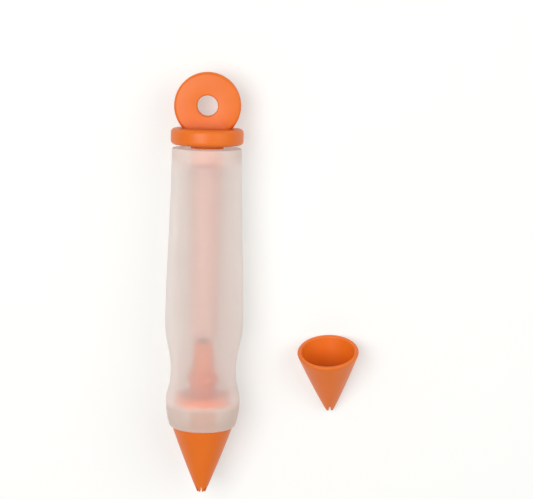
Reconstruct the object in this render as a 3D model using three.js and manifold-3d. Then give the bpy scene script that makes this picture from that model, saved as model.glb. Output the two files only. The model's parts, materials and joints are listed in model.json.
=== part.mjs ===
// Icing pen: a soft silicone squeeze body with a pull-out cap and stopper stem, a nozzle holder,
// the nozzle that is on it, and a spare nozzle lying beside it.
// Millimetres, +Z up. The pen lies along Y with its cap towards +Y. A station is a distance along the
// pen's axis from the body's flat top face, counted towards the nozzle's tip.
import * as THREE from "three";
import { mergeVertices } from "three/addons/utils/BufferGeometryUtils.js";
import Module from "manifold-3d";

const wasm = await Module();
wasm.setup();

// Squeeze body
const bodyLength = 107;
const shoulderRadius = 13.15;
const shoulderRounding = 1.2;
const bellyRadius = 14.85;
const waistRadius = 12.5;
const hipWall = 2.35;
const lipWall = 0.65;
const lipRounding = 0.5;
const wallThickness = 1.8;
const topThickness = 5;
const baseThickness = 7.1;
const mouthDepth = 1.1;
const hipAboveMouth = 10;
const waistAboveHip = 12;
const bellyAboveWaist = 18;

// Cap: round tab, flange, neck, and the plug that holds the stem
const capLift = 1.35;
const flangeRadius = 13.7;
const flangeThickness = 6.05;
const flangeRounding = 1.4;
const neckRadius = 6.25;
const neckBelowTopWall = 1.5;
const plugLength = 8;
const tabRadius = 12.55;
const tabThickness = 5.6;
const tabRounding = 1.2;
const tabSink = 4;
const tabHoleRadius = 3.9;
const tabHoleRounding = 0.5;

// Stopper stem
const stemTopRadius = 5.8;
const stemEndRadius = 5.3;
const stemEndRounding = 2.4;
const stemWall = 1.5;

// Nozzle holder
const stubTopRadius = 3.8;
const stubFootRadius = 4.5;
const stubLength = 12.7;
const smallFlangeRadius = 6.25;
const smallFlangeThickness = 2.7;
const holderNeckRadius = 5;
const holderNeckLength = 5.2;
const wideFlangeRadius = 11.5;
const wideFlangeThickness = 3.9;
const spigotLength = 5;
const holderBoreRadius = 2.5;
const flangeEdgeBreak = 0.5;

// Nozzles
const nozzleLength = 27;
const nozzleRimRadius = 12;
const nozzleTipRadius = 1.7;
const nozzleRimWall = 1.7;
const nozzleTipWall = 0.75;
const nozzleRimBreak = 0.3;
const nozzleSwellShare = 0.1;
const fineTeeth = 8;
const broadTeeth = 5;
const fineNotchDepth = 2.2;
const broadNotchDepth = 3.2;
const notchWidthShare = 0.62;
const spareOffset = 47.8;
const spareStation = 77.7;
const spareHeadingDegrees = 3.8;

// Clearance between pieces that touch, and the overrun of every cut
const clearance = 0.3;
const overrun = 1;

// Smoothness of round shapes: sides of a full turn, and steps along a curve
const wideSides = 48;
const narrowSides = 32;
const curveSteps = 6;
const roundingSteps = 3;

// Handles of the curves between the body's named radii, as shares of each stretch's length and rise
const barrelHandleShares = [[0.45, 0.24], [0.75, 1]];
const gripHandleShares = [[0.4, 0], [0.55, 1]];
const hipHandleShares = [[0.55, 0], [0.72, 1]];
const lipHandleShares = [[0.4, 0], [0.78, 0.42]];

// Colours and finishes
const orangePlastic = { color: 0xe8743a, roughness: 0.42, metalness: 0 };
const thinOrangePlastic = { color: 0xf6b49c, roughness: 0.45, metalness: 0 };
const clearSilicone = { color: 0xe6d6cf, roughness: 0.55, metalness: 0 };

// Stations that several pieces share
const hipStation = bodyLength - hipAboveMouth;
const waistStation = hipStation - waistAboveHip;
const bellyStation = waistStation - bellyAboveWaist;
const mouthFloorStation = bodyLength - mouthDepth;
const chamberFloorStation = mouthFloorStation - baseThickness;
const wideFlangeEnd = chamberFloorStation - clearance;
const wideFlangeStart = wideFlangeEnd - wideFlangeThickness;
const smallFlangeEnd = wideFlangeStart - holderNeckLength;
const smallFlangeStart = smallFlangeEnd - smallFlangeThickness;
const stubTopStation = smallFlangeStart - stubLength;
const nozzleRimStation = mouthFloorStation + clearance;
const flangeTopStation = -capLift - flangeThickness;
const neckEndStation = topThickness + neckBelowTopWall;
const stemTopStation = neckEndStation + clearance;
const stemEndStation = stubTopStation - capLift;
const tabStation = flangeTopStation + tabSink - tabRadius;

// Radii that follow from what fits inside
const mouthRadius = nozzleRimRadius + clearance;
const lipRadius = mouthRadius + lipWall;
const flangePocketRadius = wideFlangeRadius + clearance;
const hipRadius = flangePocketRadius + hipWall;
const stemBoreRadius = stemTopRadius - stemWall;

// A point of an outline: radius from the axis, and station along it
function at(radius, station) {
  return new THREE.Vector2(radius, -station);
}

// Points of a cubic curve between two outline points, its handles given as shares of the stretch
function curveBetween(from, to, handleShares) {
  const span = new THREE.Vector2().subVectors(to, from);
  const handles = handleShares.map(
    ([alongShare, riseShare]) => new THREE.Vector2(from.x + span.x * riseShare, from.y + span.y * alongShare),
  );
  return new THREE.CubicBezierCurve(from, handles[0], handles[1], to).getPoints(curveSteps);
}

// Points of a quarter round from one outline point to another, bulging towards the given corner
function rounding(from, corner, to) {
  const centre = new THREE.Vector2().addVectors(from, to).sub(corner);
  const points = [];
  for (let step = 0; step <= roundingSteps; step += 1) {
    const turn = (step / roundingSteps) * (Math.PI / 2);
    points.push(
      new THREE.Vector2()
        .copy(centre)
        .addScaledVector(new THREE.Vector2().subVectors(from, centre), Math.cos(turn))
        .addScaledVector(new THREE.Vector2().subVectors(to, centre), Math.sin(turn)),
    );
  }
  return points;
}

// A closed three.js geometry as a solid for joining and cutting
function solidOf(geometry) {
  const bare = geometry.clone();
  bare.deleteAttribute("normal");
  bare.deleteAttribute("uv");
  const merged = mergeVertices(bare);
  const corners = merged.index.array;
  const kept = [];
  for (let first = 0; first < corners.length; first += 3) {
    const [a, b, c] = corners.slice(first, first + 3);
    if (a !== b && b !== c && c !== a) {
      kept.push(a, b, c);
    }
  }
  const vertProperties = new Float32Array(merged.attributes.position.array);
  return new wasm.Manifold(new wasm.Mesh({ numProp: 3, vertProperties, triVerts: new Uint32Array(kept) }));
}

// A finished solid as a named mesh with its own material
function meshOf(name, solid, finish) {
  const { vertProperties, triVerts } = solid.getMesh();
  const geometry = new THREE.BufferGeometry();
  geometry.setAttribute("position", new THREE.BufferAttribute(new Float32Array(vertProperties), 3));
  geometry.setIndex(new THREE.BufferAttribute(new Uint32Array(triVerts), 1));
  geometry.computeVertexNormals();
  const mesh = new THREE.Mesh(geometry, new THREE.MeshStandardMaterial(finish));
  mesh.name = name;
  return mesh;
}

// A solid of revolution about the pen's axis; the outline runs up the outside and down the inside
function revolve(outline, sides) {
  const closed = [...outline, outline[0].clone()];
  return solidOf(new THREE.LatheGeometry(closed, sides));
}

// The body's outer side, from the lip at the mouth up to the edge of the flat top
function bodySide() {
  const lip = at(lipRadius, bodyLength - lipRounding);
  const hip = at(hipRadius, hipStation);
  const waist = at(waistRadius, waistStation);
  const belly = at(bellyRadius, bellyStation);
  const shoulder = at(shoulderRadius, shoulderRounding);
  return [
    ...rounding(at(lipRadius - lipRounding, bodyLength), at(lipRadius, bodyLength), lip),
    ...curveBetween(hip, lip, lipHandleShares).reverse().slice(1),
    ...curveBetween(waist, hip, hipHandleShares).reverse().slice(1),
    ...curveBetween(belly, waist, gripHandleShares).reverse().slice(1),
    ...curveBetween(shoulder, belly, barrelHandleShares).reverse().slice(1),
    ...rounding(shoulder, at(shoulderRadius, 0), at(shoulderRadius - shoulderRounding, 0)).slice(1),
  ];
}

// The chamber's wall, from under the top down to the pocket that takes the holder's wide flange
function chamberSide() {
  const top = at(shoulderRadius - wallThickness, topThickness);
  const belly = at(bellyRadius - wallThickness, bellyStation);
  const waist = at(waistRadius - wallThickness, waistStation);
  const pocket = at(flangePocketRadius, wideFlangeStart - clearance);
  return [
    ...curveBetween(top, belly, barrelHandleShares),
    ...curveBetween(belly, waist, gripHandleShares).slice(1),
    ...curveBetween(waist, pocket, hipHandleShares).slice(1),
    at(flangePocketRadius, chamberFloorStation),
  ];
}

function squeezeBody() {
  const capHoleRadius = neckRadius + clearance;
  const baseHoleRadius = holderNeckRadius + clearance;
  return revolve(
    [
      ...bodySide(),
      at(capHoleRadius, 0),
      at(capHoleRadius, topThickness),
      ...chamberSide(),
      at(baseHoleRadius, chamberFloorStation),
      at(baseHoleRadius, mouthFloorStation),
      at(mouthRadius, mouthFloorStation),
      at(mouthRadius, bodyLength),
    ],
    wideSides,
  );
}

// The cap flange's rounded edge, from its underside round to its top
function flangeSide() {
  const rounded = flangeRadius - flangeRounding;
  return [
    ...rounding(
      at(rounded, -capLift),
      at(flangeRadius, -capLift),
      at(flangeRadius, -capLift - flangeRounding),
    ),
    ...rounding(
      at(flangeRadius, flangeTopStation + flangeRounding),
      at(flangeRadius, flangeTopStation),
      at(rounded, flangeTopStation),
    ),
  ];
}

// Plug, neck and flange of the cap, turned about the axis
function turnedCap() {
  const plugRadius = stemBoreRadius - clearance;
  const plugEndStation = neckEndStation + plugLength;
  return revolve(
    [
      at(0, plugEndStation),
      at(plugRadius, plugEndStation),
      at(plugRadius, neckEndStation),
      at(neckRadius, neckEndStation),
      at(neckRadius, -capLift),
      ...flangeSide(),
      at(0, flangeTopStation),
    ],
    wideSides,
  );
}

// The round tab: a flat disc along Y and X, with rounded edges
function tabDisc() {
  const outline = new THREE.Shape();
  outline.absarc(0, 0, tabRadius - tabRounding, 0, Math.PI * 2);
  const disc = new THREE.ExtrudeGeometry(outline, {
    depth: tabThickness - tabRounding * 2,
    curveSegments: wideSides / 2,
    bevelSize: tabRounding,
    bevelThickness: tabRounding,
    bevelSegments: roundingSteps,
  });
  disc.translate(0, -tabStation, tabRounding - tabThickness / 2);
  return solidOf(disc);
}

// The cutter of the hanging hole: a bar of round section that flares at both faces of the tab
function tabHoleCutter() {
  const face = tabThickness / 2;
  const flareRadius = tabHoleRadius + tabHoleRounding;
  const outline = [
    at(0, face + overrun),
    at(flareRadius, face + overrun),
    ...rounding(
      at(flareRadius, face),
      at(tabHoleRadius, face),
      at(tabHoleRadius, face - tabHoleRounding),
    ),
    ...rounding(
      at(tabHoleRadius, tabHoleRounding - face),
      at(tabHoleRadius, -face),
      at(flareRadius, -face),
    ),
    at(flareRadius, -face - overrun),
    at(0, -face - overrun),
  ];
  const bar = new THREE.LatheGeometry([...outline, outline[0].clone()], narrowSides);
  bar.rotateX(Math.PI / 2);
  bar.translate(0, -tabStation, 0);
  return solidOf(bar);
}

function endCap() {
  return turnedCap().add(tabDisc()).subtract(tabHoleCutter());
}

// A tube with a closed round end, pushed over the cap's plug
function stopperStem() {
  const boreEndStation = stemEndStation - stemWall;
  const boreEndRadius = stemEndRadius - stemWall;
  const endFlatRadius = stemEndRadius - stemEndRounding;
  return revolve(
    [
      at(0, stemEndStation),
      ...rounding(
        at(endFlatRadius, stemEndStation),
        at(stemEndRadius, stemEndStation),
        at(stemEndRadius, stemEndStation - stemEndRounding),
      ),
      at(stemTopRadius, stemTopStation + plugLength),
      at(stemTopRadius, stemTopStation),
      at(stemBoreRadius, stemTopStation),
      at(stemBoreRadius, stemTopStation + plugLength),
      at(boreEndRadius, boreEndStation - stemEndRounding),
      at(boreEndRadius - stemWall, boreEndStation),
      at(0, boreEndStation),
    ],
    narrowSides,
  );
}

// Radius of a nozzle's side at a depth below its rim: a straight cone that swells a little outwards
function nozzleRadiusAt(depth, rimRadius, tipRadius) {
  const depthShare = depth / nozzleLength;
  const fallShare = depthShare * (1 - nozzleSwellShare) + depthShare * depthShare * nozzleSwellShare;
  return rimRadius - (rimRadius - tipRadius) * fallShare;
}

// Points down a nozzle's side, from one depth to another
function nozzleSide(rimRadius, tipRadius, fromDepth, toDepth) {
  const points = [];
  for (let step = 0; step <= curveSteps; step += 1) {
    const depth = fromDepth + ((toDepth - fromDepth) * step) / curveSteps;
    points.push(at(nozzleRadiusAt(depth, rimRadius, tipRadius), depth));
  }
  return points;
}

function nozzleOuterSide(fromDepth, toDepth) {
  return nozzleSide(nozzleRimRadius, nozzleTipRadius, fromDepth, toDepth);
}

function nozzleInnerSide(fromDepth, toDepth) {
  return nozzleSide(nozzleRimRadius - nozzleRimWall, nozzleTipRadius - nozzleTipWall, fromDepth, toDepth);
}

// A wedge that cuts one notch between two teeth, with its point up the nozzle's side
function notchCutter(teeth, notchDepth) {
  const pitch = (nozzleTipRadius * Math.PI * 2) / teeth;
  const halfWidth = (pitch * notchWidthShare) / 2;
  const flare = (notchDepth + overrun) / notchDepth;
  const reach = nozzleTipRadius + notchDepth + overrun;
  const wedge = new THREE.Shape([
    at(0, nozzleLength - notchDepth),
    at(-halfWidth * flare, nozzleLength + overrun),
    at(halfWidth * flare, nozzleLength + overrun),
  ]);
  return new THREE.ExtrudeGeometry(wedge, { depth: reach, bevelEnabled: false });
}

// A hollow nozzle with its rim at station zero, cut into a ring of teeth at the tip
function nozzle(teeth, notchDepth) {
  const rim = nozzleRadiusAt(nozzleRimBreak, nozzleRimRadius, nozzleTipRadius);
  let solid = revolve(
    [
      ...nozzleOuterSide(nozzleRimBreak, nozzleLength).reverse(),
      at(rim - nozzleRimBreak, 0),
      ...nozzleInnerSide(0, nozzleLength),
    ],
    narrowSides,
  );
  for (let notch = 0; notch < teeth; notch += 1) {
    const cutter = notchCutter(teeth, notchDepth).rotateY((notch / teeth) * Math.PI * 2);
    solid = solid.subtract(solidOf(cutter));
  }
  return solid;
}

// The holder: inlet stub, small flange, neck, wide flange, neck through the base, and tapered spigot
function nozzleHolder() {
  const spigot = nozzleInnerSide(0, spigotLength).map(
    (point) => at(point.x - clearance, nozzleRimStation - point.y),
  );
  const spigotEnd = nozzleRimStation + spigotLength;
  const wideFlangeBroken = wideFlangeRadius - flangeEdgeBreak;
  return revolve(
    [
      at(holderBoreRadius, spigotEnd),
      ...spigot.reverse(),
      at(holderNeckRadius, nozzleRimStation),
      at(holderNeckRadius, wideFlangeEnd),
      at(wideFlangeBroken, wideFlangeEnd),
      at(wideFlangeRadius, wideFlangeEnd - flangeEdgeBreak),
      at(wideFlangeRadius, wideFlangeStart + flangeEdgeBreak),
      at(wideFlangeBroken, wideFlangeStart),
      at(holderNeckRadius, wideFlangeStart),
      at(holderNeckRadius, smallFlangeEnd),
      at(smallFlangeRadius - flangeEdgeBreak, smallFlangeEnd),
      at(smallFlangeRadius, smallFlangeEnd - flangeEdgeBreak),
      at(smallFlangeRadius, smallFlangeStart + flangeEdgeBreak),
      at(smallFlangeRadius - flangeEdgeBreak, smallFlangeStart),
      at(stubFootRadius, smallFlangeStart),
      at(stubTopRadius, stubTopStation + flangeEdgeBreak),
      at(stubTopRadius - flangeEdgeBreak, stubTopStation),
      at(holderBoreRadius, stubTopStation),
    ],
    narrowSides,
  );
}

// How far the pen tips about X to rest on its belly and on the rim of the cap's flange
function lyingAngle() {
  const rest = at(flangeRadius, flangeTopStation + flangeRounding);
  const angles = bodySide().map((point) => Math.atan2(point.x - rest.x, rest.y - point.y));
  return Math.max(...angles);
}

// Height of an axis above the table for a turned shape that is tipped about X by an angle
function lyingHeight(outline, angle) {
  return Math.max(...outline.map((point) => point.x * Math.cos(angle) - point.y * Math.sin(angle)));
}

function lyingPen() {
  const pen = new THREE.Group();
  const fitted = meshOf("fitted_nozzle", nozzle(fineTeeth, fineNotchDepth), orangePlastic);
  fitted.position.y = -nozzleRimStation;
  pen.add(
    meshOf("squeeze_body", squeezeBody(), clearSilicone),
    meshOf("end_cap", endCap(), orangePlastic),
    meshOf("stopper_stem", stopperStem(), thinOrangePlastic),
    meshOf("nozzle_holder", nozzleHolder(), orangePlastic),
    fitted,
  );
  const angle = -lyingAngle();
  pen.rotation.x = angle;
  pen.position.z = lyingHeight([...bodySide(), ...flangeSide()], angle);
  return pen;
}

// The spare nozzle lies on its side, on the swell between its rim and its tip, with its tip turned away
function lyingSpare() {
  const spare = new THREE.Group();
  spare.add(meshOf("spare_nozzle", nozzle(broadTeeth, broadNotchDepth), orangePlastic));
  const angle = Math.atan2(nozzleRimRadius - nozzleTipRadius, nozzleLength);
  spare.rotation.set(angle, 0, THREE.MathUtils.degToRad(spareHeadingDegrees), "ZYX");
  spare.position.set(spareOffset, -spareStation, lyingHeight(nozzleOuterSide(0, nozzleLength), angle));
  return spare;
}

// The origin is under the middle of the whole set, on the table
function icingPen() {
  const set = new THREE.Group();
  set.add(lyingPen(), lyingSpare());
  set.updateMatrixWorld(true);
  const box = new THREE.Box3().setFromObject(set, true);
  const middle = box.getCenter(new THREE.Vector3());
  set.position.set(-middle.x, -middle.y, -box.min.z);
  return set;
}

export default icingPen();
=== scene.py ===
"""Icing pen: the finished surfaces, worked out around the fixed frame of its solids.

Lengths are in metres. A station is a distance along the pen's axis from the body's flat top face,
counted towards the nozzle's tip; on the spare nozzle it is counted from the flat rim.
"""

import json
import math

import bpy
import numpy as np
from mathutils import Matrix, Vector


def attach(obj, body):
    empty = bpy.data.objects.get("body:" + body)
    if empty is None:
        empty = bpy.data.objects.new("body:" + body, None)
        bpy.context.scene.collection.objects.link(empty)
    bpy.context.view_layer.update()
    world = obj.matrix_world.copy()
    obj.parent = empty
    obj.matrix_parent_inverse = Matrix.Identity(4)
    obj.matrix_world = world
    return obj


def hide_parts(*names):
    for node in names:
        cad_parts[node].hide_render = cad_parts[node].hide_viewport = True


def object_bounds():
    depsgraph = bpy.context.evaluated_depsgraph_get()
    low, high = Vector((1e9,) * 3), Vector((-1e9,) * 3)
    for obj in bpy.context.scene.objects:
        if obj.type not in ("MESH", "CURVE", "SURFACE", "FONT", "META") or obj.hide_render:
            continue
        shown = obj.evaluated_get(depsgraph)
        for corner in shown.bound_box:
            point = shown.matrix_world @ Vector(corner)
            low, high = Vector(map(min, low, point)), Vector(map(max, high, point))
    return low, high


bl_info = {
    "name": "Icing pen",
    "version": (1, 0, 0),
    "blender": (4, 5, 0),
    "location": "View3D > Sidebar > Icing pen",
    "description": "Builds a silicone icing pen with its cap, stem, holder and nozzles",
    "category": "Add Mesh",
}

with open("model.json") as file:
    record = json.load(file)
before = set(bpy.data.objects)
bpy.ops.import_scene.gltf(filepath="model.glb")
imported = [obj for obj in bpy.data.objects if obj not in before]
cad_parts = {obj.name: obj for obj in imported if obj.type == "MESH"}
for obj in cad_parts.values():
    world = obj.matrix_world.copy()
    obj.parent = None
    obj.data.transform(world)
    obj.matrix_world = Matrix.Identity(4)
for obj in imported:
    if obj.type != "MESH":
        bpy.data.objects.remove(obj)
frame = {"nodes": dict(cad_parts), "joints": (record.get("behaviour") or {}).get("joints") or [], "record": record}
CAD_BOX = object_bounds()

MM = 0.001
# Width of the photograph in pixels
IMAGE_WIDTH = 533

# Names of the numbers that the silicone's material reads from the corners of its mesh
DEPTH = "silicone_depth"
INNER = "chamber_side"

# Edges that turn by more than this stay sharp
CREASE_ANGLE = math.radians(38)
# Corners this near to the furthest one are in the same flat ring
RING_DEPTH = 0.01 * MM
# Radius of the small flat disc in which an open outline ends on its axis
POLE_RADIUS = 0.2 * MM
# Rounding of the edges on the plug, the neck and the stem's open end
SMALL_EDGE = 0.3 * MM


# Settings


def length(default_mm, name, description):
    """A length property whose default is given in millimetres."""
    return bpy.props.FloatProperty(
        name=name,
        description=description,
        default=default_mm * MM,
        min=0.0,
        precision=5,
        subtype="DISTANCE",
        unit="LENGTH",
    )


def colour(default, name, description):
    """A colour property whose default is an sRGB hex value."""
    return bpy.props.FloatVectorProperty(
        name=name,
        description=description,
        default=linear(default),
        min=0.0,
        max=1.0,
        size=3,
        subtype="COLOR",
    )


def linear(hex_value):
    """The linear colour of an sRGB hex value, by the standard curve."""
    channels = [int(hex_value[i : i + 2], 16) / 255 for i in (1, 3, 5)]
    return tuple(c / 12.92 if c <= 0.04045 else ((c + 0.055) / 1.055) ** 2.4 for c in channels)


class BodySizes(bpy.types.PropertyGroup):
    """Sizes of the silicone squeeze body."""

    total: length(107, "Length", "From the flat top face to the mouth")
    shoulder_radius: length(13.15, "Shoulder radius", "Outer radius just under the top face")
    shoulder_rounding: length(0.5, "Shoulder rounding", "Radius of the rounded top edge")
    belly_radius: length(14.85, "Belly radius", "Outer radius at the widest place")
    waist_radius: length(12.5, "Waist radius", "Outer radius where the fingers hold")
    hip_radius: length(14.15, "Hip radius", "Outer radius round the wide flange")
    lip_radius: length(12.95, "Lip radius", "Outer radius at the mouth")
    lip_rounding: length(1.5, "Lip rounding", "Length of the mouth's rounded outer edge")
    lip_gap: length(0.12, "Lip gap", "Gap between the lip's inner edge and the nozzle's side")
    wall: length(1.8, "Wall", "Thickness of the squeezed wall")
    top: length(5, "Top wall", "Thickness of the top wall")
    base: length(7.1, "Base", "Thickness of the silicone under the chamber")
    mouth_depth: length(1.1, "Mouth depth", "Depth of the recess for the nozzle's rim")
    hip_above_mouth: length(10, "Hip height", "From the mouth up to the hip")
    waist_above_hip: length(12, "Waist height", "From the hip up to the waist")
    belly_above_waist: length(18, "Belly height", "From the waist up to the belly")


class CapSizes(bpy.types.PropertyGroup):
    """Sizes of the cap and of the stopper stem that it carries."""

    lift: length(1.35, "Lift", "Gap between the flange and the body's top face")
    flange_radius: length(13.7, "Flange radius", "Outer radius of the flange")
    flange_thickness: length(6.05, "Flange thickness", "Thickness of the flange")
    flange_rounding: length(1.5, "Flange rounding", "Radius of the flange's rounded edges")
    neck_radius: length(6.25, "Neck radius", "Radius of the neck in the body's top hole")
    neck_below_top: length(1.5, "Neck overhang", "How far the neck reaches past the top wall")
    plug: length(8, "Plug length", "Length of the plug inside the stem")
    tab_radius: length(12.55, "Tab radius", "Radius of the round tab")
    tab_thickness: length(5.6, "Tab thickness", "Thickness of the round tab")
    tab_rounding: length(1.25, "Tab rounding", "Radius of the tab's rounded edge")
    tab_sink: length(4, "Tab sink", "How far the tab's round runs into the flange")
    tab_hole: length(3.9, "Hole radius", "Radius of the hanging hole")
    hole_rounding: length(0.5, "Hole rounding", "Radius of the hole's rounded edges")
    stem_radius: length(5.8, "Stem radius", "Radius of the stem under the cap")
    stem_end_radius: length(5.3, "Stem end radius", "Radius of the stem near its closed end")
    stem_end_rounding: length(2.4, "Stem end rounding", "Radius of the stem's rounded end")
    stem_wall: length(1.5, "Stem wall", "Wall of the stem's tube")


class HolderSizes(bpy.types.PropertyGroup):
    """Sizes of the nozzle holder."""

    stub_top_radius: length(3.8, "Stub top radius", "Radius of the inlet stub's free end")
    stub_foot_radius: length(4.5, "Stub foot radius", "Radius of the inlet stub's foot")
    stub_length: length(12.7, "Stub length", "Length of the inlet stub")
    small_flange_radius: length(6.25, "Small flange radius", "Radius of the small flange")
    small_flange: length(2.7, "Small flange", "Thickness of the small flange")
    neck_radius: length(5, "Neck radius", "Radius of the holder's neck")
    neck_length: length(5.2, "Neck length", "Length of the neck between the flanges")
    wide_flange_radius: length(11.5, "Wide flange radius", "Radius of the wide flange")
    wide_flange: length(3.9, "Wide flange", "Thickness of the wide flange")
    spigot: length(5, "Spigot", "Depth of the spigot inside the nozzle")
    bore_radius: length(2.5, "Bore radius", "Radius of the holder's bore")
    edge: length(0.5, "Edge", "Radius of the holder's rounded edges")


class NozzleSizes(bpy.types.PropertyGroup):
    """Sizes that both nozzles share."""

    total: length(27, "Length", "From the flat rim to the tip")
    rim_radius: length(12, "Rim radius", "Outer radius at the rim")
    tip_radius: length(1.7, "Tip radius", "Outer radius at the tip")
    rim_wall: length(1.7, "Rim wall", "Wall at the rim")
    tip_wall: length(0.75, "Tip wall", "Wall at the tip")
    rim_rounding: length(0.5, "Rim rounding", "Radius of the rim's rounded edges")
    fine_notch: length(2.2, "Fine notch", "Depth of the fitted nozzle's notches")
    broad_notch: length(3.2, "Broad notch", "Depth of the spare nozzle's notches")
    clearance: length(0.3, "Clearance", "Gap between pieces that touch")
    swell: bpy.props.FloatProperty(
        name="Swell",
        description="Share of the side's fall that curves instead of running straight",
        default=0.1,
        min=0.0,
        max=1.0,
        subtype="FACTOR",
    )
    notch_share: bpy.props.FloatProperty(
        name="Notch width",
        description="Share of the tip's round that the notches take",
        default=0.62,
        min=0.0,
        max=0.9,
        subtype="FACTOR",
    )
    fine_teeth: bpy.props.IntProperty(
        name="Fine teeth", description="Teeth of the fitted nozzle", default=8, min=3
    )
    broad_teeth: bpy.props.IntProperty(
        name="Broad teeth", description="Teeth of the spare nozzle", default=5, min=3
    )


class PenColours(bpy.types.PropertyGroup):
    """Colours of the polypropylene, the silicone and the floor."""

    orange: colour("#E2721D", "Orange", "Moulded polypropylene")
    orange_deep: colour("#DC6816", "Deep orange", "Where the moulding is a touch deeper")
    # Painted shade: a deeper, redder orange laid on the moulding's own corners and hollows, where its shade falls
    orange_hollow: colour("#C24A0C", "Painted shade orange", "Where the moulding shuts its own light in")
    orange_thin: colour("#FFD8CE", "Thin orange", "The stem's thin translucent wall")
    silicone: colour("#FDF5F0", "Silicone", "Milky silicone rubber")
    silicone_thick: colour("#D6C2B6", "Thick silicone", "Where the silicone is thick and yellower")
    silicone_clear: colour("#FCF8F6", "Clear silicone", "Light that passes through the silicone")
    floor: colour("#C2C2C0", "Floor", "Pale floor")


# Places taken from the frame


def unit(vector):
    """The vector at length one."""
    vector = np.asarray(vector, float)
    return vector / np.linalg.norm(vector)


def corner_places(mesh):
    """The places of a mesh's corners, one row each."""
    places = np.empty(len(mesh.vertices) * 3, np.float32)
    mesh.vertices.foreach_get("co", places)
    return places.reshape(-1, 3).astype(float)


def axis_frame(node, direction):
    """Origin and rows X, Y, Z of the axes of a turned node.

    Y is the given direction. The origin is the centre of the flat ring that lies furthest along it:
    the mean of that ring's corners. X is level, and Z is square to both.
    """
    along = unit(direction)
    points = corner_places(frame["nodes"][node].data)
    reach = points @ along
    ring = points[reach > reach.max() - RING_DEPTH]
    level = unit(np.cross(along, (0.0, 0.0, 1.0)))
    return ring.mean(axis=0), np.array([level, along, np.cross(level, along)])


def joint_axis(name):
    """The direction of a joint of the frame."""
    return next(joint["axis"] for joint in frame["joints"] if joint["name"] == name)


def mount_axis(name):
    """The direction of a mount of the packed record."""
    return next(mount["axis"] for mount in frame["record"]["mounts"] if mount["name"] == name)


PEN_AXES = axis_frame("squeeze_body", joint_axis("cap_pull"))
SPARE_AXES = axis_frame("spare_nozzle", mount_axis("spare_nozzle_rim"))


# Outlines


def curve_between(start, end, shares, steps=40):
    """Points of a cubic curve from start to end.

    Each handle is a pair of shares: how far along the stretch, and how much of its rise.
    The point at t is the sum of start, handles and end weighted by (1-t)^3, 3t(1-t)^2, 3t^2(1-t), t^3.
    """
    start, end = np.asarray(start, float), np.asarray(end, float)
    handles = [start + (end - start) * np.array([rise, along]) for along, rise in shares]
    t = np.linspace(0, 1, steps)[:, None]
    return (
        (1 - t) ** 3 * start
        + 3 * t * (1 - t) ** 2 * handles[0]
        + 3 * t**2 * (1 - t) * handles[1]
        + t**3 * end
    )


def rounded(corners, steps=7):
    """The outline through the corners, each given as radius, station and rounding.

    A corner with a rounding becomes an arc that touches both of its sides: its centre lies on the
    corner's bisector, and its points run evenly in angle from one touching point to the other.
    """
    corners = [np.asarray(corner, float) for corner in corners]
    points = []
    for before, corner, after in zip(corners[-1:] + corners[:-1], corners, corners[1:] + corners[:1]):
        place, rounding = corner[:2], corner[2]
        if rounding == 0:
            points.append(place)
            continue
        back, forth = unit(before[:2] - place), unit(after[:2] - place)
        half = math.acos(np.clip(back @ forth, -1, 1)) / 2
        setback = rounding / math.tan(half)
        centre = place + unit(back + forth) * rounding / math.sin(half)
        first, last = place + back * setback - centre, place + forth * setback - centre
        sweep = math.pi - 2 * half
        share = np.linspace(0, 1, steps)[:, None]
        arc = np.sin((1 - share) * sweep) * first + np.sin(share * sweep) * last
        points.extend(centre + arc / math.sin(sweep))
    return np.array(points)


# Meshes


def grid_faces(rows, columns, close_rows):
    """Four-cornered faces of a grid whose columns close on themselves, and its rows too if asked.

    A face joins a corner to the next one in its row, and both to the same two in the next row.
    """
    row = np.arange(rows if close_rows else rows - 1)[:, None]
    column = np.arange(columns)[None, :]
    next_row, next_column = (row + 1) % rows, (column + 1) % columns
    faces = np.stack(
        [
            row * columns + column,
            row * columns + next_column,
            next_row * columns + next_column,
            next_row * columns + column,
        ],
        axis=-1,
    )
    return faces.reshape(-1, 4)


def mesh_object(name, points, faces, ends=()):
    """A smooth-shaded object from corner places and faces, with its creases kept sharp.

    The ends are further faces of any number of corners, such as the discs at the poles.
    """
    mesh = bpy.data.meshes.new(name)
    mesh.from_pydata(points.tolist(), [], faces.tolist() + [list(end) for end in ends])
    mesh.validate()
    mesh.shade_smooth()
    mesh.set_sharp_from_angle(angle=CREASE_ANGLE)
    piece = bpy.data.objects.new(name, mesh)
    bpy.context.scene.collection.objects.link(piece)
    return piece


def full_turn(turns):
    """The angles of one full turn, evenly spaced."""
    return np.linspace(0, 2 * math.pi, turns, endpoint=False)


def turned_points(radius, station, turn, axes):
    """Places of a turned surface: radius times sine and cosine of the turn, at minus the station."""
    origin, rows = axes
    local = np.stack([radius * np.sin(turn), -station + 0 * turn, radius * np.cos(turn)], axis=-1)
    return (local @ rows + origin).reshape(-1, 3)


def turned(name, outline, axes, turns=144, closed=True):
    """A solid of revolution: the outline, carried once round the axis.

    A closed outline makes a ring, and an open one starts and ends in flat discs. An outline that
    runs the wrong way round, so that its area is negative, is reversed: the faces point outwards.
    """
    radius, station = outline[:, 0], outline[:, 1]
    next_radius, next_station = np.roll(radius, -1), np.roll(station, -1)
    doubled_area = (radius * -next_station + next_radius * station).sum()
    if doubled_area < 0:
        outline = outline[::-1]
    points = turned_points(outline[:, 0, None], outline[:, 1, None], full_turn(turns), axes)
    faces = grid_faces(len(outline), turns, closed)
    last = (len(outline) - 1) * turns
    ends = () if closed else (range(turns - 1, -1, -1), range(last, last + turns))
    return mesh_object(name, points, faces, ends)


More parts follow.
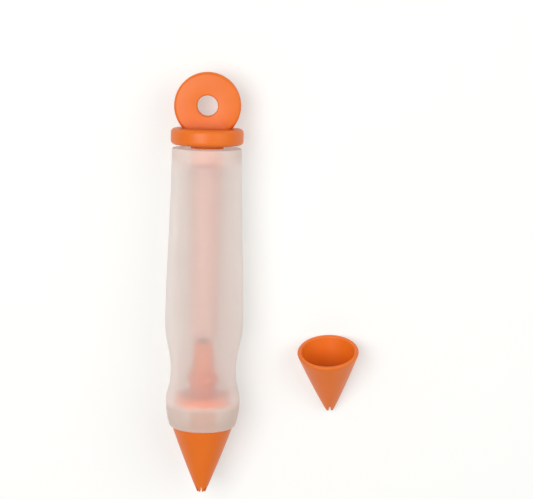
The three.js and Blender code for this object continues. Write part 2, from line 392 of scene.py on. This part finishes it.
def joined(name, first, second):
    """Two closed objects made one by an exact boolean union, which replaces both."""
    modifier = first.modifiers.new("Boolean", "BOOLEAN")
    modifier.operation = "UNION"
    modifier.solver = "EXACT"
    modifier.object = second
    bpy.context.view_layer.update()
    depsgraph = bpy.context.evaluated_depsgraph_get()
    mesh = bpy.data.meshes.new_from_object(first.evaluated_get(depsgraph))
    mesh.name = name
    first.modifiers.clear()
    first.data = mesh
    bpy.data.objects.remove(second)
    mesh.shade_smooth()
    mesh.set_sharp_from_angle(angle=CREASE_ANGLE)
    return first


def mark_corners(mesh, name, values):
    """Keeps one number for each corner of a mesh, for its material to read."""
    attribute = mesh.attributes.new(name, "FLOAT", "POINT")
    attribute.data.foreach_set("value", values.astype(np.float32))


def finish_piece(piece, material, body, slot, *nodes):
    """Gives a piece its material, lets it ride on a body and stand for CAD nodes."""
    piece.data.materials.clear()
    piece.data.materials.append(material)
    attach(piece, body)
    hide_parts(*nodes)


# Materials


def add_node(tree, kind, settings=None, inputs=None):
    """Adds one node, sets its own fields, and sets or links its inputs."""
    node = tree.nodes.new(kind)
    for field, value in (settings or {}).items():
        setattr(node, field, value)
    for socket, value in (inputs or {}).items():
        if isinstance(value, bpy.types.NodeSocket):
            tree.links.new(value, node.inputs[socket])
        else:
            node.inputs[socket].default_value = value
    return node


def new_material(name):
    """An empty node material, a function that adds its nodes and one that sets its surface."""
    material = bpy.data.materials.new(name)
    material.use_nodes = True
    tree = material.node_tree
    tree.nodes.clear()
    output = tree.nodes.new("ShaderNodeOutputMaterial")

    def node(kind, settings=None, inputs=None):
        return add_node(tree, kind, settings, inputs)

    def surface(shader):
        tree.links.new(shader.outputs[0], output.inputs["Surface"])

    return material, node, surface


def rgba(value):
    """A colour with full opacity."""
    return (*value, 1.0)


def moulded_polypropylene():
    """Opaque polypropylene, injection moulded: satin, waxy, with a faint spark-eroded grain.

    Its index of refraction is polypropylene's 1.49, and light wanders a little way under its skin.
    """
    colours = bpy.context.scene.icing_pen_colours
    material, node, surface = new_material("moulded_polypropylene")
    place = node("ShaderNodeTexCoord").outputs["Object"]
    # Pigment clouds about 9 mm across
    cloud = node(
        "ShaderNodeTexNoise", inputs={"Vector": place, "Scale": 1 / (9 * MM), "Detail": 2.0}
    )
    tint = node(
        "ShaderNodeMix",
        {"data_type": "RGBA"},
        {
            "Factor": cloud.outputs["Fac"],
            "A": rgba(colours.orange_deep),
            "B": rgba(colours.orange),
        },
    )
    # Painted shade: where local ambient occlusion finds the moulding's own corners and hollows keeping light out,
    # the colour is painted deeper and redder
    local_occlusion = node(
        "ShaderNodeAmbientOcclusion",
        {"samples": 8, "only_local": True},
        {"Distance": 8 * MM},
    )
    painted_shade_share = node(
        "ShaderNodeMapRange",
        inputs={"Value": local_occlusion.outputs["AO"], "From Min": 0.3, "From Max": 0.8},
    )
    shade = node(
        "ShaderNodeMix",
        {"data_type": "RGBA"},
        {
            "Factor": painted_shade_share.outputs["Result"],
            "A": rgba(colours.orange_hollow),
            "B": tint.outputs["Result"],
        },
    )
    # Mould grain, drawn at 0.5 mm because the real 0.1 mm grain is too fine to show
    grain = node(
        "ShaderNodeTexNoise", inputs={"Vector": place, "Scale": 1 / (0.5 * MM), "Detail": 3.0}
    )
    gloss = node(
        "ShaderNodeMapRange",
        inputs={"Value": grain.outputs["Fac"], "To Min": 0.33, "To Max": 0.43},
    )
    bump = node(
        "ShaderNodeBump",
        inputs={"Height": grain.outputs["Fac"], "Strength": 0.25, "Distance": 0.02 * MM},
    )
    surface(
        node(
            "ShaderNodeBsdfPrincipled",
            {"subsurface_method": "RANDOM_WALK"},
            {
                "Base Color": shade.outputs["Result"],
                "Roughness": gloss.outputs["Result"],
                "Normal": bump.outputs["Normal"],
                "IOR": 1.49,
                "Specular IOR Level": 0.33,
                "Subsurface Weight": 0.12,
                "Subsurface Radius": (1.0, 0.35, 0.12),
                "Subsurface Scale": 1.2 * MM,
            },
        )
    )
    return material


def silicone_milk(node, colours, place, relief, thick, inner):
    """The part of the silicone that looks milky: light sent back, and light that glows through it."""
    # Filler clouds about 14 mm across add up to a fifth of the thick silicone's tint
    cloud = node(
        "ShaderNodeTexNoise", inputs={"Vector": place, "Scale": 1 / (14 * MM), "Detail": 2.0}
    )
    clouded = node(
        "ShaderNodeMath",
        {"operation": "MULTIPLY_ADD", "use_clamp": True},
        {0: cloud.outputs["Fac"], 1: 0.2, 2: thick},
    )
    tint = node(
        "ShaderNodeMix",
        {"data_type": "RGBA"},
        {
            "Factor": clouded.outputs["Value"],
            "A": rgba(colours.silicone),
            "B": rgba(colours.silicone_thick),
        },
    )
    # Light wanders under the outer skin, and the chamber's own skin sends it straight back
    wander_share = node(
        "ShaderNodeMapRange", inputs={"Value": inner, "To Min": 0.7, "To Max": 0.0}
    )
    # It wanders further where the silicone is thick
    wander = node(
        "ShaderNodeMapRange", inputs={"Value": thick, "To Min": 0.6 * MM, "To Max": 2.5 * MM}
    )
    # The milk has silicone rubber's own index of refraction, 1.41
    scattered = node(
        "ShaderNodeBsdfPrincipled",
        {"subsurface_method": "RANDOM_WALK"},
        {
            "Base Color": tint.outputs["Result"],
            "Roughness": 0.5,
            "Normal": relief,
            "IOR": 1.41,
            "Subsurface Weight": wander_share.outputs["Result"],
            "Subsurface Radius": (1.0, 0.9, 0.85),
            "Subsurface Scale": wander.outputs["Result"],
        },
    )
    # Light that comes through the milk from its other side: the outer skin shows more of it where
    # the silicone is thin, and the chamber's skin where it is thick
    glow = node("ShaderNodeBsdfTranslucent", inputs={"Color": rgba(colours.silicone)})
    outer_glow = node(
        "ShaderNodeMapRange", inputs={"Value": thick, "To Min": 0.35, "To Max": 0.1}
    )
    inner_glow = node(
        "ShaderNodeMapRange",
        inputs={"Value": thick, "From Max": 0.45, "To Min": 0.45, "To Max": 0.9},
    )
    glow_share = node(
        "ShaderNodeMix",
        {"data_type": "FLOAT"},
        {"Factor": inner, "A": outer_glow.outputs["Result"], "B": inner_glow.outputs["Result"]},
    )
    milk = node(
        "ShaderNodeMixShader",
        inputs={
            0: glow_share.outputs["Result"],
            1: scattered.outputs["BSDF"],
            2: glow.outputs["BSDF"],
        },
    )
    return milk.outputs["Shader"]


def silicone_clear_share(node, thick, inner):
    """How much of the silicone looks clear; the rest looks milky."""
    # The wall is longer to look through at the body's edges, so less of them is clear
    slant = node("ShaderNodeLayerWeight", inputs={"Blend": 0.5})
    by_slant = node(
        "ShaderNodeMapRange",
        inputs={"Value": slant.outputs["Facing"], "From Max": 0.5, "To Min": 0.64, "To Max": 0.15},
    )
    # Less is clear where the silicone is thick, too
    by_depth = node(
        "ShaderNodeMapRange",
        inputs={"Value": thick, "From Max": 0.5, "To Min": 1.0, "To Max": 0.38},
    )
    outer_share = node(
        "ShaderNodeMath",
        {"operation": "MULTIPLY"},
        {0: by_slant.outputs["Result"], 1: by_depth.outputs["Result"]},
    )
    # The far wall shows through the chamber, and hardly the table under it
    by_side = node("ShaderNodeMapRange", inputs={"Value": inner, "To Min": 1.0, "To Max": 0.1})
    share = node(
        "ShaderNodeMath",
        {"operation": "MULTIPLY"},
        {0: outer_share.outputs["Value"], 1: by_side.outputs["Result"]},
    )
    # A face seen from behind is where the light leaves the wall, and it is all clear
    leaving = node(
        "ShaderNodeMix",
        {"data_type": "FLOAT"},
        {
            "Factor": node("ShaderNodeNewGeometry").outputs["Backfacing"],
            "A": share.outputs["Value"],
            "B": 1.0,
        },
    )
    return leaving.outputs["Result"]


def moulded_silicone():
    """Milky translucent silicone rubber, moulded: satin, soft to the eye, blurring what is inside.

    The side that faces the eye sends part of the light back as milk, most of it towards its edges, and
    lets the rest through at a rough angle. The side that the light leaves by lets all of it through.
    """
    colours = bpy.context.scene.icing_pen_colours
    material, node, surface = new_material("moulded_silicone")
    place = node("ShaderNodeTexCoord").outputs["Object"]
    inner = node("ShaderNodeAttribute", {"attribute_name": INNER}).outputs["Fac"]
    # The thick ends are yellower and milkier than the 1.8 mm wall, and most so past 7.6 mm
    depth = node("ShaderNodeAttribute", {"attribute_name": DEPTH}).outputs["Fac"]
    thick = node(
        "ShaderNodeMapRange",
        inputs={"Value": depth, "From Min": 1.8 * MM, "From Max": 7.6 * MM},
    ).outputs["Result"]
    # Skin of the mould, drawn at 0.6 mm because the real grain is too fine to show
    skin = node(
        "ShaderNodeTexNoise", inputs={"Vector": place, "Scale": 1 / (0.6 * MM), "Detail": 2.0}
    ).outputs["Fac"]
    relief = node(
        "ShaderNodeBump", inputs={"Height": skin, "Strength": 0.2, "Distance": 0.03 * MM}
    ).outputs["Normal"]
    gloss = node("ShaderNodeMapRange", inputs={"Value": skin, "To Min": 0.38, "To Max": 0.46})
    # What isn't milk passes light on, blurred by the rough skin and hardly bent by so thin a wall
    clear = node(
        "ShaderNodeBsdfPrincipled",
        inputs={
            "Base Color": rgba(colours.silicone_clear),
            "Roughness": gloss.outputs["Result"],
            "Normal": relief,
            "IOR": 1.15,
            "Transmission Weight": 1.0,
        },
    )
    wall = node(
        "ShaderNodeMixShader",
        inputs={
            0: silicone_clear_share(node, thick, inner),
            1: silicone_milk(node, colours, place, relief, thick, inner),
            2: clear.outputs["BSDF"],
        },
    )
    # Part of the light on its way to a lamp goes straight through, so the pieces inside are lit
    passed = node(
        "ShaderNodeMapRange",
        inputs={"Value": thick, "From Min": 0.3, "From Max": 0.9, "To Min": 0.36, "To Max": 0.04},
    )
    through = node("ShaderNodeBsdfTransparent", inputs={"Color": passed.outputs["Result"]})
    surface(
        node(
            "ShaderNodeMixShader",
            inputs={
                0: node("ShaderNodeLightPath").outputs["Is Shadow Ray"],
                1: wall.outputs["Shader"],
                2: through.outputs["BSDF"],
            },
        )
    )
    return material


def thin_polypropylene():
    """The same orange polypropylene in a thin wall: much paler, and it lets light through."""
    material, node, surface = new_material("thin_polypropylene")
    surface(
        node(
            "ShaderNodeBsdfPrincipled",
            inputs={
                "Base Color": rgba(bpy.context.scene.icing_pen_colours.orange_thin),
                "Roughness": 0.45,
                "IOR": 1.49,
                "Transmission Weight": 0.4,
            },
        )
    )
    return material


def matte_floor():
    """A plain white photo table, matte, and faintly lit from below so that the silicone glows."""
    colours = bpy.context.scene.icing_pen_colours
    material, node, surface = new_material("matte_floor")
    surface(
        node(
            "ShaderNodeBsdfPrincipled",
            inputs={
                "Base Color": rgba(colours.floor),
                "Roughness": 0.9,
                "Specular IOR Level": 0.1,
                "Emission Color": rgba(colours.floor),
                "Emission Strength": 0.7,
            },
        )
    )
    return material


def shared_material(maker):
    """The maker's material, made once."""
    return bpy.data.materials.get(maker.__name__) or maker()


# Pieces


class StationMap:
    """Stations that several pieces share, worked out from the settings."""

    def __init__(self, scene):
        body, cap = scene.icing_pen_body, scene.icing_pen_cap
        holder, nozzle = scene.icing_pen_holder, scene.icing_pen_nozzle
        # The body's side, and the floors of its mouth and of its chamber
        self.hip = body.total - body.hip_above_mouth
        self.waist = self.hip - body.waist_above_hip
        self.belly = self.waist - body.belly_above_waist
        self.mouth_floor = body.total - body.mouth_depth
        self.chamber_floor = self.mouth_floor - body.base
        # The holder and the fitted nozzle's rim
        self.wide_end = self.chamber_floor - nozzle.clearance
        self.wide_start = self.wide_end - holder.wide_flange
        self.small_end = self.wide_start - holder.neck_length
        self.small_start = self.small_end - holder.small_flange
        self.stub_top = self.small_start - holder.stub_length
        self.rim = self.mouth_floor + nozzle.clearance
        # The cap and its stem, which lies as far from the stub as the flange lies from the body
        self.flange_top = -cap.lift - cap.flange_thickness
        self.neck_end = body.top + cap.neck_below_top
        self.stem_top = self.neck_end + nozzle.clearance
        self.stem_end = self.stub_top - cap.lift
        self.tab = self.flange_top + cap.tab_sink - cap.tab_radius


def nozzle_radius(nozzle, depth, rim_radius, tip_radius):
    """Radius of a nozzle's side: a straight cone that swells a little, by depth and depth squared."""
    share = depth / nozzle.total
    fall = share * (1 - nozzle.swell) + share**2 * nozzle.swell
    return rim_radius - (rim_radius - tip_radius) * fall


class ICINGPEN_OT_squeeze_body(bpy.types.Operator):
    """Build the silicone squeeze body"""

    bl_idname = "icing_pen.squeeze_body"
    bl_label = "Squeeze body"

    # Handles of the side's curves, as shares of each stretch's length and rise
    BARREL_SHARES = ((0.45, 0.24), (0.75, 1.0))
    GRIP_SHARES = ((0.4, 0.0), (0.55, 1.0))
    HIP_SHARES = ((0.55, 0.0), (0.72, 1.0))
    LIP_SHARES = ((0.4, 0.0), (0.78, 0.42))
    # Half the stretch of the axis in which the depth of silicone goes over to another
    DEPTH_FADE = 1.5 * MM
    # A corner is on an inner face where less than this share of its normal points outwards
    OUTWARD_SHARE = 0.4
    # Width and height of the lip's small bevel, and rounding of the top hole's edges
    LIP_BEVEL = 0.2 * MM
    HOLE_ROUNDING = 0.4 * MM

    def execute(self, context):
        size, cap = context.scene.icing_pen_body, context.scene.icing_pen_cap
        holder, nozzle = context.scene.icing_pen_holder, context.scene.icing_pen_nozzle
        at = StationMap(context.scene)
        outline = np.concatenate(
            [
                self.lip(size, nozzle, at),
                self.outside(size, at),
                self.top(size, cap, nozzle),
                self.chamber(size, holder, nozzle, at),
            ]
        )
        piece = turned("silicone_body", outline, PEN_AXES)
        self.mark_depth(piece, at, size, cap, holder)
        self.mark_inner(piece)
        finish_piece(
            piece, shared_material(moulded_silicone), "pen_body", "clear_silicone", "squeeze_body"
        )
        return {"FINISHED"}

    def mark_depth(self, piece, at, size, cap, holder):
        """How much silicone lies under each corner of the mesh, by its station.

        It is the wall along the chamber. At the ends it is the way in to the cap's or the holder's neck,
        or the way through to the chamber where that is shorter. It goes over evenly about the top wall's
        inner face, and mostly before the end of the wide flange.
        """
        top = min(size.top, size.shoulder_radius - cap.neck_radius)
        base = min(size.base, size.hip_radius - holder.neck_radius)
        origin, rows = PEN_AXES
        station = -(corner_places(piece.data) - origin) @ rows[1]
        stops = [
            size.top - self.DEPTH_FADE,
            size.top + self.DEPTH_FADE,
            at.wide_end - 1.5 * self.DEPTH_FADE,
            at.wide_end + 0.5 * self.DEPTH_FADE,
        ]
        depth = np.interp(station, stops, [top, size.wall, size.wall, base])
        mark_corners(piece.data, DEPTH, depth)

    def mark_inner(self, piece):
        """Zero where the mesh faces outward, and one on the top face, in the chamber and in the mouth.

        The outward direction is the way from the axis to the corner, square to the axis.
        """
        origin, rows = PEN_AXES
        mesh = piece.data
        normals = np.empty(len(mesh.vertices) * 3, np.float32)
        mesh.vertex_normals.foreach_get("vector", normals)
        place = corner_places(mesh) - origin
        outward = place - (place @ rows[1])[:, None] * rows[1]
        along_outward = (normals.reshape(-1, 3) * outward).sum(axis=1)
        inner = along_outward < self.OUTWARD_SHARE * np.linalg.norm(outward, axis=1)
        mark_corners(mesh, INNER, inner)

    def outside(self, size, at):
        """The outer side, from the lip up to the rounded shoulder."""
        lip_start = (size.lip_radius, size.total - size.lip_rounding)
        hip = (size.hip_radius, at.hip)
        waist = (size.waist_radius, at.waist)
        belly = (size.belly_radius, at.belly)
        shoulder = (size.shoulder_radius, size.shoulder_rounding)
        return np.concatenate(
            [
                curve_between(hip, lip_start, self.LIP_SHARES)[::-1],
                curve_between(waist, hip, self.HIP_SHARES)[-2::-1],
                curve_between(belly, waist, self.GRIP_SHARES)[-2::-1],
                curve_between(shoulder, belly, self.BARREL_SHARES)[-2::-1],
            ]
        )

    def lip(self, size, nozzle, at, steps=10):
        """The soft lip that closes round the nozzle's side.

        From the recess it runs to a small bevel at the nozzle's side, and from there a quarter round
        leads out to the body's side: its radius goes by the sine of the turn, its station by the cosine.
        """
        depth = size.total - at.rim
        inner = nozzle_radius(nozzle, depth, nozzle.rim_radius, nozzle.tip_radius) + size.lip_gap
        recess = nozzle.rim_radius + nozzle.clearance
        crest = inner + self.LIP_BEVEL
        turn = np.linspace(0, math.pi / 2, steps)[:-1]
        radius = crest + (size.lip_radius - crest) * np.sin(turn)
        station = size.total - size.lip_rounding * (1 - np.cos(turn))
        inside = [(recess, at.mouth_floor), (recess, at.rim), (inner, size.total - self.LIP_BEVEL)]
        return np.concatenate([inside, np.stack([radius, station], axis=1)])

    def top(self, size, cap, nozzle):
        """The rounded shoulder, the flat top and the hole for the cap's neck.

        The first and last corners only give the outline its direction. They are left out again, as is
        the shoulder's first point, because the outer side and the chamber hold these points already.
        """
        hole = cap.neck_radius + nozzle.clearance
        corners = [
            (size.shoulder_radius, size.shoulder_rounding * 2, 0),
            (size.shoulder_radius, 0, size.shoulder_rounding),
            (hole, 0, self.HOLE_ROUNDING),
            (hole, size.top, self.HOLE_ROUNDING),
            (size.shoulder_radius - size.wall, size.top, 0),
        ]
        return rounded(corners)[2:-1]

    def chamber(self, size, holder, nozzle, at):
        """The chamber's wall, the pocket of the wide flange, the base's hole and the recess floor."""
        pocket = holder.wide_flange_radius + nozzle.clearance
        hole = holder.neck_radius + nozzle.clearance
        top = (size.shoulder_radius - size.wall, size.top)
        belly = (size.belly_radius - size.wall, at.belly)
        waist = (size.waist_radius - size.wall, at.waist)
        seat = (pocket, at.wide_start - nozzle.clearance)
        return np.concatenate(
            [
                curve_between(top, belly, self.BARREL_SHARES),
                curve_between(belly, waist, self.GRIP_SHARES)[1:],
                curve_between(waist, seat, self.HIP_SHARES)[1:],
                [(pocket, at.chamber_floor)],
                [(hole, at.chamber_floor)],
                [(hole, at.mouth_floor)],
            ]
        )


class ICINGPEN_OT_end_cap(bpy.types.Operator):
    """Build the cap: plug, neck, flange and round tab"""

    bl_idname = "icing_pen.end_cap"
    bl_label = "End cap"

    def execute(self, context):
        cap, nozzle = context.scene.icing_pen_cap, context.scene.icing_pen_nozzle
        at = StationMap(context.scene)
        piece = joined("cap_moulding", self.flange(cap, nozzle, at), self.tab(cap, at))
        finish_piece(
            piece, shared_material(moulded_polypropylene), "cap", "orange_polypropylene", "end_cap"
        )
        return {"FINISHED"}

    def flange(self, cap, nozzle, at):
        """Plug, neck and flange, turned about the pen's axis."""
        plug = cap.stem_radius - cap.stem_wall - nozzle.clearance
        corners = [
            (POLE_RADIUS, at.neck_end + cap.plug, 0),
            (plug, at.neck_end + cap.plug, SMALL_EDGE),
            (plug, at.neck_end, 0),
            (cap.neck_radius, at.neck_end, SMALL_EDGE),
            (cap.neck_radius, -cap.lift, SMALL_EDGE),
            (cap.flange_radius, -cap.lift, cap.flange_rounding),
            (cap.flange_radius, at.flange_top, cap.flange_rounding),
            (POLE_RADIUS, at.flange_top, 0),
        ]
        return turned("cap_moulding", rounded(corners), PEN_AXES, closed=False)

    def tab(self, cap, at):
        """The round tab, turned about the axis of its hole, which is square to the pen's axis."""
        origin, (level, along, rise) = PEN_AXES
        tab_axes = (origin - along * at.tab, np.array([level, rise, -along]))
        face = cap.tab_thickness / 2
        corners = [
            (cap.tab_hole, face, cap.hole_rounding),
            (cap.tab_radius, face, cap.tab_rounding),
            (cap.tab_radius, -face, cap.tab_rounding),
            (cap.tab_hole, -face, cap.hole_rounding),
        ]
        return turned("tab", rounded(corners), tab_axes)


class ICINGPEN_OT_stopper_stem(bpy.types.Operator):
    """Build the stopper stem: a tube with a closed round end"""

    bl_idname = "icing_pen.stopper_stem"
    bl_label = "Stopper stem"

    def execute(self, context):
        cap = context.scene.icing_pen_cap
        at = StationMap(context.scene)
        bore = cap.stem_radius - cap.stem_wall
        bore_end = cap.stem_end_radius - cap.stem_wall
        corners = [
            (POLE_RADIUS, at.stem_end, 0),
            (cap.stem_end_radius, at.stem_end, cap.stem_end_rounding),
            (cap.stem_radius, at.stem_top + cap.plug, 0),
            (cap.stem_radius, at.stem_top, SMALL_EDGE),
            (bore, at.stem_top, SMALL_EDGE),
            (bore, at.stem_top + cap.plug, 0),
            (bore_end, at.stem_end - cap.stem_wall, cap.stem_end_rounding - cap.stem_wall),
            (POLE_RADIUS, at.stem_end - cap.stem_wall, 0),
        ]
        piece = turned("stem_tube", rounded(corners), PEN_AXES, turns=96, closed=False)
        finish_piece(
            piece,
            shared_material(thin_polypropylene),
            "cap",
            "thin_orange_polypropylene",
            "stopper_stem",
        )
        return {"FINISHED"}


class ICINGPEN_OT_nozzle_holder(bpy.types.Operator):
    """Build the nozzle holder: stub, flanges, neck and tapered spigot"""

    bl_idname = "icing_pen.nozzle_holder"
    bl_label = "Nozzle holder"

    def execute(self, context):
        size, nozzle = context.scene.icing_pen_holder, context.scene.icing_pen_nozzle
        at = StationMap(context.scene)
        bore, neck, edge = size.bore_radius, size.neck_radius, size.edge
        inner_rim = nozzle.rim_radius - nozzle.rim_wall
        inner_tip = nozzle.tip_radius - nozzle.tip_wall
        spigot_end = nozzle_radius(nozzle, size.spigot, inner_rim, inner_tip) - nozzle.clearance
        corners = [
            (bore, at.rim + size.spigot, edge / 2),
            (spigot_end, at.rim + size.spigot, edge),
            (inner_rim - nozzle.clearance, at.rim, edge / 2),
            (neck, at.rim, 0),
            (neck, at.wide_end, 0),
            (size.wide_flange_radius, at.wide_end, edge),
            (size.wide_flange_radius, at.wide_start, edge),
            (neck, at.wide_start, edge),
            (neck, at.small_end, edge),
            (size.small_flange_radius, at.small_end, edge),
            (size.small_flange_radius, at.small_start, edge),
            (size.stub_foot_radius, at.small_start, edge),
            (size.stub_top_radius, at.stub_top, edge),
            (bore, at.stub_top, edge / 2),
        ]
        piece = turned("holder_moulding", rounded(corners), PEN_AXES, turns=96)
        finish_piece(
            piece,
            shared_material(moulded_polypropylene),
            "pen_body",
            "orange_polypropylene",
            "nozzle_holder",
        )
        return {"FINISHED"}


class ICINGPEN_OT_nozzles(bpy.types.Operator):
    """Build the fitted nozzle and the spare nozzle"""

    bl_idname = "icing_pen.nozzles"
    bl_label = "Nozzles"

    def execute(self, context):
        size = context.scene.icing_pen_nozzle
        at = StationMap(context.scene)
        origin, rows = PEN_AXES
        fitted_axes = (origin - rows[1] * at.rim, rows)
        for name, axes, teeth, notch, body, node in (
            (
                "front_nozzle_cone",
                fitted_axes,
                size.fine_teeth,
                size.fine_notch,
                "front_nozzle",
                "fitted_nozzle",
            ),
            (
                "spare_nozzle_cone",
                SPARE_AXES,
                size.broad_teeth,
                size.broad_notch,
                "loose_nozzle",
                "spare_nozzle",
            ),
        ):
            piece = self.cone(name, size, axes, teeth, notch)
            finish_piece(
                piece, shared_material(moulded_polypropylene), body, "orange_polypropylene", node
            )
        return {"FINISHED"}

    def cone(self, name, size, axes, teeth, notch, steps=60, turns_per_tooth=36):
        """A hollow toothed nozzle on a grid of depth shares and turns.

        The side ends at the tip less a V notch: full depth on a tooth, falling straight to the notch's
        bottom. Every row of the grid is a share of that depth, so the rows bend with the teeth. The rim
        is one outline for all turns. Its first and last corners, at the guide depth, only give it its
        direction and are left out again; the side starts at the rim depth, clear of its roundings.
        """
        turns = teeth * turns_per_tooth
        turn = full_turn(turns)
        phase = np.abs((turn * teeth / (2 * math.pi) + 0.5) % 1 - 0.5) * 2 / size.notch_share
        end = size.total - notch * np.clip(1 - phase, 0, 1)
        inner_rim, inner_tip = size.rim_radius - size.rim_wall, size.tip_radius - size.tip_wall
        guide_depth, rim_depth = size.rim_wall * 2, size.rim_rounding * 1.5
        rim = rounded(
            [
                (nozzle_radius(size, guide_depth, inner_rim, inner_tip), guide_depth, 0),
                (inner_rim, 0, size.rim_rounding),
                (size.rim_radius, 0, size.rim_rounding),
                (nozzle_radius(size, guide_depth, size.rim_radius, size.tip_radius), guide_depth, 0),
            ]
        )[1:-1]
        share = np.linspace(0, 1, steps)[:, None]
        depth = rim_depth + (end[None, :] - rim_depth) * share
        outer = nozzle_radius(size, depth, size.rim_radius, size.tip_radius)
        inner = nozzle_radius(size, depth, inner_rim, inner_tip)
        rim_radius = np.repeat(rim[:, 0, None], turns, axis=1)
        rim_station = np.repeat(rim[:, 1, None], turns, axis=1)
        radius = np.concatenate([outer[::-1], rim_radius[::-1], inner])
        station = np.concatenate([depth[::-1], rim_station[::-1], depth])
        points = turned_points(radius, station, turn, axes)
        return mesh_object(name, points, grid_faces(len(radius), turns, True))


# Stage


class ICINGPEN_OT_stage(bpy.types.Operator):
    """Set up the floor, the soft lights and the camera"""

    bl_idname = "icing_pen.stage"
    bl_label = "Stage"

    def execute(self, context):
        self.floor()
        self.lights(context)
        self.camera(context)
        context.scene.view_settings.view_transform = "Standard"
        return {"FINISHED"}

    def floor(self):
        """A wide flat square just under the lowest point of the set."""
        reach, drop = 1.6, 0.02 * MM
        level = CAD_BOX[0][2] - drop
        corners = np.array(
            [
                (-reach, -reach, level),
                (reach, -reach, level),
                (reach, reach, level),
                (-reach, reach, level),
            ]
        )
        floor = mesh_object("floor", corners, np.array([[0, 1, 2, 3]]))
        floor.data.materials.append(shared_material(matte_floor))

    def lights(self, context):
        """Two large soft panels, high up on both sides and towards the cap, and an even pale sky.

        A panel's row gives its place and width in metres and its power in watts.
        """
        sky_strength = 0.4
        for name, place, width, power in (
            ("key_panel", (-0.32, 0.15, 0.9), 0.6, 6.4),
            ("fill_panel", (0.6, 0.25, 0.68), 0.7, 2.9),
        ):
            light = bpy.data.lights.new(name, "AREA")
            light.shape = "SQUARE"
            light.size = width
            light.energy = power
            lamp = bpy.data.objects.new(name, light)
            lamp.location = place
            lamp.rotation_euler = (-Vector(place)).to_track_quat("-Z", "Y").to_euler()
            context.scene.collection.objects.link(lamp)
        world = bpy.data.worlds.new("pale_sky")
        world.use_nodes = True
        background = world.node_tree.nodes["Background"]
        background.inputs["Color"].default_value = (1, 1, 1, 1)
        background.inputs["Strength"].default_value = sky_strength
        context.scene.world = world

    def camera(self, context):
        """The photograph's view: above the set, leaning towards the cap, a long lens.

        The camera aims at a point that is given from the middle of the body's top face, and stands
        back from it by the distance. The tilt leans it towards the cap, and the roll turns the picture.
        The lens is given as the focal length in pixels of the photograph.
        """
        aim_right, aim_along, distance = 23.22 * MM, 38.14 * MM, 608 * MM
        tilt, roll = math.radians(9.23), math.radians(1.29)
        focal_pixels, sensor = 1600, 36.0
        origin, _ = PEN_AXES
        aim = origin + (aim_right, -aim_along, 0.0)
        forward = np.array([0, -math.sin(tilt), -math.cos(tilt)])
        right = np.array([1.0, 0, 0])
        up = np.cross(right, forward)
        image_right = right * math.cos(roll) + up * math.sin(roll)
        image_up = up * math.cos(roll) - right * math.sin(roll)
        data = bpy.data.cameras.new("camera")
        data.sensor_fit = "HORIZONTAL"
        data.sensor_width = sensor
        data.lens = focal_pixels / IMAGE_WIDTH * sensor
        camera = bpy.data.objects.new("camera", data)
        place = Matrix.Identity(4)
        for column, vector in enumerate((image_right, image_up, -forward, aim - forward * distance)):
            for row in range(3):
                place[row][column] = vector[row]
        camera.matrix_world = place
        context.scene.collection.objects.link(camera)
        context.scene.camera = camera


# Add-on


class ICINGPEN_PT_panel(bpy.types.Panel):
    """The sidebar panel that lists the pen's pieces, sizes and colours"""

    bl_idname = "ICINGPEN_PT_panel"
    bl_label = "Icing pen"
    bl_space_type = "VIEW_3D"
    bl_region_type = "UI"
    bl_category = "Icing pen"

    def draw(self, context):
        for operator in OPERATORS:
            self.layout.operator(operator.bl_idname)
        for name, group in GROUPS.items():
            box = self.layout.box()
            box.label(text=group.__doc__)
            for setting in group.__annotations__:
                box.prop(getattr(context.scene, name), setting)


GROUPS = {
    "icing_pen_body": BodySizes,
    "icing_pen_cap": CapSizes,
    "icing_pen_holder": HolderSizes,
    "icing_pen_nozzle": NozzleSizes,
    "icing_pen_colours": PenColours,
}
OPERATORS = (
    ICINGPEN_OT_squeeze_body,
    ICINGPEN_OT_end_cap,
    ICINGPEN_OT_stopper_stem,
    ICINGPEN_OT_nozzle_holder,
    ICINGPEN_OT_nozzles,
    ICINGPEN_OT_stage,
)


def register():
    """Registers the classes and gives each scene its sizes and colours."""
    for cls in (*GROUPS.values(), *OPERATORS, ICINGPEN_PT_panel):
        bpy.utils.register_class(cls)
    for name, group in GROUPS.items():
        setattr(bpy.types.Scene, name, bpy.props.PointerProperty(type=group))


def unregister():
    """Takes back what register did, in the opposite order."""
    for name in GROUPS:
        delattr(bpy.types.Scene, name)
    for cls in (ICINGPEN_PT_panel, *reversed(OPERATORS), *reversed(GROUPS.values())):
        bpy.utils.unregister_class(cls)


def main():
    """Builds the pieces and the stage in order."""
    register()
    bpy.ops.icing_pen.squeeze_body()
    bpy.ops.icing_pen.end_cap()
    bpy.ops.icing_pen.stopper_stem()
    bpy.ops.icing_pen.nozzle_holder()
    bpy.ops.icing_pen.nozzles()
    bpy.ops.icing_pen.stage()


if __name__ == "__main__":
    main()
